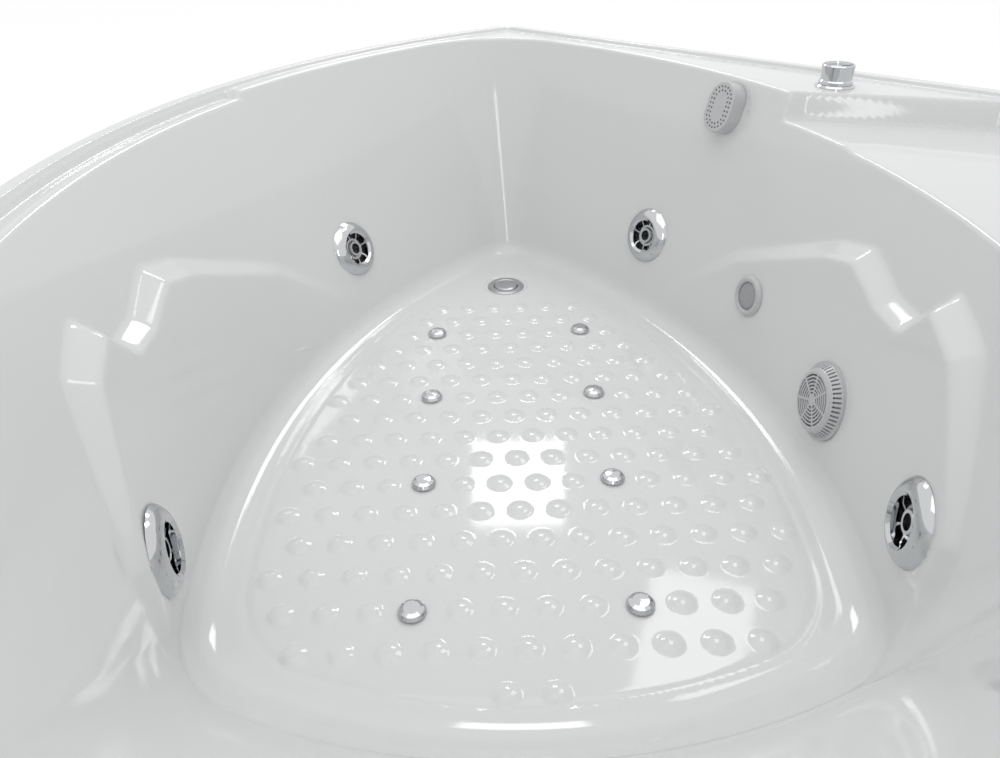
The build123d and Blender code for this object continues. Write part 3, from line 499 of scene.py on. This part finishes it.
fine = grid(low, high, 2.6)
seat_edge = np.abs(inside_distance(fine, seat_corners)) < seat_step
ledge_end = (np.abs(ledge_reach - np.abs(fine[:, 0])) < 6) & (edge_distance(fine[:, 0], fine[:, 1]) < 60) & (fine[:, 1] < chord_y)
fine = fine[seat_edge | ledge_end]
fine = fine[on_deck(fine, 1.5)]
broad = grid(low, high, 9.0)
broad = broad[np.abs(inside_distance(broad, seat_corners)) > seat_step + 3]
broad = broad[on_deck(broad, 4)]
deck_faces = patch(
    [rim_loop, band_loop], [rim_ids, band_ids], np.concatenate([fine, broad]), deck_height,
    lambda p: loop_distance(p, rim_loop) < 0,
)


def colour(code):
    """Linear colour of an sRGB hex value."""
    parts = [int(code[i : i + 2], 16) / 255 for i in (1, 3, 5)]
    return (*[c / 12.92 if c <= 0.04045 else ((c + 0.055) / 1.055) ** 2.4 for c in parts], 1.0)


def put(tree, kind, inputs=None, **settings):
    """Adds a shader node with its settings, values and links."""
    made = tree.nodes.new("ShaderNode" + kind)
    for name, value in settings.items():
        setattr(made, name, value)
    for socket, value in (inputs or {}).items():
        if isinstance(value, bpy.types.NodeSocket):
            tree.links.new(value, made.inputs[socket])
        else:
            made.inputs[socket].default_value = value
    return made


def start_material(name):
    """An empty material, ready for its own nodes."""
    material = bpy.data.materials.new(name)
    material.use_nodes = True
    tree = material.node_tree
    tree.nodes.clear()
    return material, tree


def finish_material(tree, shader):
    put(tree, "OutputMaterial", {"Surface": shader.outputs[0]})


# Cast acrylic sheet, vacuum formed: deep even gloss, with a slow waviness left by forming.
cast_acrylic, tree = start_material("cast_acrylic_gloss_white")
place = put(tree, "NewGeometry").outputs["Position"]
cloud = put(tree, "TexNoise", {"Vector": place, "Scale": 3.0, "Detail": 2.0})
tone = put(tree, "Mix", {0: cloud.outputs["Fac"], 6: colour("#DBDCDC"), 7: colour("#DFE0E0")}, data_type="RGBA")
wave = put(tree, "TexNoise", {"Vector": place, "Scale": 9.0, "Detail": 1.0})
dent = put(tree, "Bump", {"Height": wave.outputs["Fac"], "Strength": 0.05, "Distance": 0.002})
shader = put(tree, "BsdfPrincipled", {"Base Color": tone.outputs[2], "Roughness": 0.07, "IOR": 1.49, "Normal": dent.outputs[0]})
finish_material(tree, shader)

# Glass fibre and resin, laid up by hand behind the acrylic: cream, lumpy and dull.
glass_backing, tree = start_material("glass_fibre_backing")
place = put(tree, "NewGeometry").outputs["Position"]
strands = put(tree, "TexNoise", {"Vector": place, "Scale": 160.0, "Detail": 3.0, "Distortion": 2.5})
tone = put(tree, "Mix", {0: strands.outputs["Fac"], 6: colour("#C9C5B4"), 7: colour("#DEDBCD")}, data_type="RGBA")
lumps = put(tree, "Bump", {"Height": strands.outputs["Fac"], "Strength": 0.5, "Distance": 0.001})
shader = put(tree, "BsdfPrincipled", {"Base Color": tone.outputs[2], "Roughness": 0.5, "IOR": 1.52, "Normal": lumps.outputs[0]})
finish_material(tree, shader)

# Chrome plate over moulded ABS: mirror bright, with a faint bloom of water marks.
chrome_plate, tree = start_material("chrome_plated_abs")
place = put(tree, "NewGeometry").outputs["Position"]
marks = put(tree, "TexNoise", {"Vector": place, "Scale": 120.0, "Detail": 4.0})
bloom = put(tree, "MapRange", {0: marks.outputs["Fac"], 3: 0.03, 4: 0.10})
shader = put(tree, "BsdfPrincipled", {"Base Color": colour("#C9CBCD"), "Metallic": 1.0, "Roughness": bloom.outputs[0]})
finish_material(tree, shader)

# Satin nickel and chrome plate on brass: brushed on a lathe, so grey and soft.
satin_plate, tree = start_material("satin_plated_brass")
place = put(tree, "NewGeometry").outputs["Position"]
grain = put(tree, "TexNoise", {"Vector": place, "Scale": 700.0, "Detail": 2.0})
soft = put(tree, "MapRange", {0: grain.outputs["Fac"], 3: 0.28, 4: 0.42})
shader = put(tree, "BsdfPrincipled", {"Base Color": colour("#B4B5B6"), "Metallic": 1.0, "Roughness": soft.outputs[0]})
finish_material(tree, shader)


def moulded_plastic(name, dark, light, roughness, speck):
    """Moulded plastic: an even colour with a fine moulded skin."""
    material, tree = start_material(name)
    place = put(tree, "NewGeometry").outputs["Position"]
    skin = put(tree, "TexNoise", {"Vector": place, "Scale": 900.0, "Detail": 2.0})
    tone = put(tree, "Mix", {0: skin.outputs["Fac"], 6: colour(dark), 7: colour(light)}, data_type="RGBA")
    grain = put(tree, "Bump", {"Height": skin.outputs["Fac"], "Strength": speck, "Distance": 0.0002})
    shader = put(tree, "BsdfPrincipled", {"Base Color": tone.outputs[2], "Roughness": roughness, "IOR": 1.53, "Normal": grain.outputs[0]})
    finish_material(tree, shader)
    return material


# Injection-moulded ABS, white gloss: bodies, nuts and flanges behind the wall.
abs_white = moulded_plastic("moulded_abs_white", "#D9DADA", "#E0E1E1", 0.22, 0.1)
# Injection-moulded ABS, light grey satin: the grille, overflow cover and light ring.
abs_grey = moulded_plastic("moulded_abs_light_grey", "#BDBEBF", "#C4C5C6", 0.28, 0.15)
# Polycarbonate, frosted inside: the lamp's lens, dull mid grey while unlit.
lens_frosted = moulded_plastic("frosted_polycarbonate", "#9C9D9E", "#A6A7A8", 0.42, 0.4)
# Extruded PVC pipe: chalky white with a low sheen.
pvc_pipe = moulded_plastic("extruded_pvc_white", "#D5D5CF", "#DEDED9", 0.45, 0.2)
# Glass-filled polypropylene: the pump's volute, dark grey and slightly rough.
pump_plastic = moulded_plastic("glass_filled_polypropylene", "#3A3A3C", "#464649", 0.55, 0.6)
# EPDM rubber, moulded: gaskets and pump feet, matt black.
rubber = moulded_plastic("moulded_epdm_rubber", "#1A1A1A", "#242424", 0.75, 0.5)

# Cast aluminium under black satin paint: the motor, with a light orange peel.
motor_paint, tree = start_material("satin_painted_aluminium")
place = put(tree, "NewGeometry").outputs["Position"]
peel = put(tree, "TexNoise", {"Vector": place, "Scale": 500.0, "Detail": 2.0})
tone = put(tree, "Mix", {0: peel.outputs["Fac"], 6: colour("#26272A"), 7: colour("#303135")}, data_type="RGBA")
dimple = put(tree, "Bump", {"Height": peel.outputs["Fac"], "Strength": 0.3, "Distance": 0.0003})
shader = put(tree, "BsdfPrincipled", {"Base Color": tone.outputs[2], "Roughness": 0.38, "IOR": 1.5, "Normal": dimple.outputs[0]})
finish_material(tree, shader)

# Hot-dip galvanised steel tube: grey zinc spangles 8 to 15 mm across.
galvanised, tree = start_material("hot_dip_galvanised_steel")
place = put(tree, "NewGeometry").outputs["Position"]
spangle = put(tree, "TexVoronoi", {"Vector": place, "Scale": 90.0})
tone = put(tree, "Mix", {0: spangle.outputs["Color"], 6: colour("#9EA2A5"), 7: colour("#B9BDC0")}, data_type="RGBA")
dull = put(tree, "MapRange", {0: spangle.outputs["Color"], 3: 0.32, 4: 0.55})
shader = put(tree, "BsdfPrincipled", {"Base Color": tone.outputs[2], "Metallic": 1.0, "Roughness": dull.outputs[0]})
finish_material(tree, shader)

# Bright zinc-plated steel: the screw feet, with a faint blue-grey cast.
zinc, tree = start_material("bright_zinc_plated_steel")
place = put(tree, "NewGeometry").outputs["Position"]
cloud = put(tree, "TexNoise", {"Vector": place, "Scale": 200.0, "Detail": 2.0})
dull = put(tree, "MapRange", {0: cloud.outputs["Fac"], 3: 0.22, 4: 0.38})
shader = put(tree, "BsdfPrincipled", {"Base Color": colour("#B3B8BF"), "Metallic": 1.0, "Roughness": dull.outputs[0]})
finish_material(tree, shader)

# Chipboard bonded under the floor: pressed wood flakes 3 to 8 mm long.
chipboard, tree = start_material("pressed_chipboard")
place = put(tree, "NewGeometry").outputs["Position"]
flakes = put(tree, "TexVoronoi", {"Vector": place, "Scale": 190.0})
tone = put(tree, "Mix", {0: flakes.outputs["Color"], 6: colour("#A88B62"), 7: colour("#CDB48A")}, data_type="RGBA")
rough = put(tree, "Bump", {"Height": flakes.outputs["Distance"], "Strength": 0.4, "Distance": 0.0005})
shader = put(tree, "BsdfPrincipled", {"Base Color": tone.outputs[2], "Roughness": 0.8, "IOR": 1.5, "Normal": rough.outputs[0]})
finish_material(tree, shader)

node_finishes = {
    chrome_plate: ["air_jet_caps", "air_knob", "knob_flange", *[f"jet_trim_{i}" for i in range(1, 5)], *[f"jet_nozzle_{i}" for i in range(1, 5)]],
    satin_plate: ["drain_flange", "drain_plug"],
    abs_grey: ["suction_cover", "overflow_cover", "overflow_housing", "light_trim"],
    lens_frosted: ["light_lens"],
    pvc_pipe: ["water_ring", "suction_pipe", "overflow_pipe", "waste_pipe", "air_pipes"],
    pump_plastic: ["pump_volute"],
    rubber: ["jet_gaskets", "pump_mounts"],
    motor_paint: ["pump_motor", "air_blower"],
    galvanised: ["frame_long_rails", "frame_cross_rails", "frame_posts", "pump_plate", "blower_plate", "foot_nuts"],
    zinc: [f"foot_{i}" for i in range(1, 7)],
    chipboard: ["base_board"],
    cast_acrylic: ["apron_panel"],
}
finish_of = {name: material for material, names in node_finishes.items() for name in names}
for name, node in frame["nodes"].items():
    node.data.materials.clear()
    node.data.materials.append(finish_of.get(name, abs_white))

faces = [face for part in (wall_faces, *band_faces, floor_faces, deck_faces) for face in part.tolist()]
shell_mesh = bpy.data.meshes.new("acrylic_shell")
shell_mesh.from_pydata((shell_points * 0.001).tolist(), [], faces)
shell_mesh.polygons.foreach_set("use_smooth", [True] * len(shell_mesh.polygons))
shell_mesh.materials.append(cast_acrylic)
shell_mesh.materials.append(glass_backing)
shell_mesh.validate()
acrylic_shell = bpy.data.objects.new("acrylic_shell", shell_mesh)
bpy.context.scene.collection.objects.link(acrylic_shell)
skin = acrylic_shell.modifiers.new("thickness", "SOLIDIFY")
skin.thickness = shell_thickness / 1000
skin.offset = -1
skin.material_offset = 1
skin.material_offset_rim = 1
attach(acrylic_shell, "tub")
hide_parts("tub_shell")

# Floor and studio
floor_paper, tree = start_material("studio_floor")
path = put(tree, "LightPath")
paper = put(tree, "BsdfDiffuse", {"Color": colour("#F4F4F4")})
glow = put(tree, "Emission", {"Color": colour("#FFFFFF"), "Strength": 0.35})
both = put(tree, "AddShader", {0: paper.outputs[0], 1: glow.outputs[0]})
seen = put(tree, "MixShader", {0: path.outputs["Is Camera Ray"], 1: paper.outputs[0], 2: both.outputs[0]})
finish_material(tree, seen)
floor_mesh = bpy.data.meshes.new("studio_floor")
floor_mesh.from_pydata([(-15, -15, 0), (15, -15, 0), (15, 15, 0), (-15, 15, 0)], [], [(0, 1, 2, 3)])
floor_mesh.materials.append(floor_paper)
studio_floor = bpy.data.objects.new("studio_floor", floor_mesh)
bpy.context.scene.collection.objects.link(studio_floor)

world = bpy.data.worlds.new("studio")
bpy.context.scene.world = world
world.use_nodes = True
tree = world.node_tree
tree.nodes.clear()
path = put(tree, "LightPath")
clear = put(tree, "Math", {0: path.outputs["Is Camera Ray"], 1: path.outputs["Is Transmission Ray"]}, operation="MAXIMUM")
shown = put(tree, "Math", {0: clear.outputs[0], 1: path.outputs["Is Glossy Ray"]}, operation="MAXIMUM")
plain = put(tree, "Background", {"Color": colour("#FFFFFF"), "Strength": 1.0})
sky = put(tree, "Background", {"Color": colour("#FFFFFF"), "Strength": 0.70})
mixed = put(tree, "MixShader", {0: shown.outputs[0], 1: sky.outputs[0], 2: plain.outputs[0]})
put(tree, "OutputWorld", {"Surface": mixed.outputs[0]})


def lamp(name, place, aim, width, depth, power):
    """A soft rectangular lamp."""
    light = bpy.data.lights.new(name, "AREA")
    light.shape = "RECTANGLE"
    light.size, light.size_y, light.energy = width, depth, power
    made = bpy.data.objects.new(name, light)
    made.location = place
    made.rotation_mode = "QUATERNION"
    made.rotation_quaternion = (Vector(aim) - Vector(place)).to_track_quat("-Z", "Y")
    bpy.context.scene.collection.objects.link(made)
    return made


lamp("ceiling_softbox", (0.2, -0.2, 3.4), (0, 0, 0), 3.0, 3.0, 22)
lamp("corner_panel", (-1.554, -0.162, 1.503), (0.04, -0.216, 0.155), 0.36, 0.33, 3.0)
lamp("side_panel", (-1.197, 0.508, 2.177), (0.329, -0.056, 0.155), 0.42, 0.70, 4.0)
lamp("head_strip", (2.6, -0.35, 1.35), (-0.8, -0.1, 0.45), 0.25, 1.5, 6.0)

camera_data = bpy.data.cameras.new("camera")
camera_data.sensor_width = 36.0
camera_data.lens = 28.44
camera = bpy.data.objects.new("camera", camera_data)
camera.matrix_world = Matrix((
    (0.02201, -0.53939, 0.84177, 0.837546),
    (0.99954, 0.02962, -0.00715, -0.243511),
    (-0.02108, 0.84154, 0.53979, 0.829294),
    (0, 0, 0, 1),
))
camera_data.clip_start = 0.02
bpy.context.scene.collection.objects.link(camera)
bpy.context.scene.camera = camera
bpy.context.scene.view_settings.view_transform = "Standard"
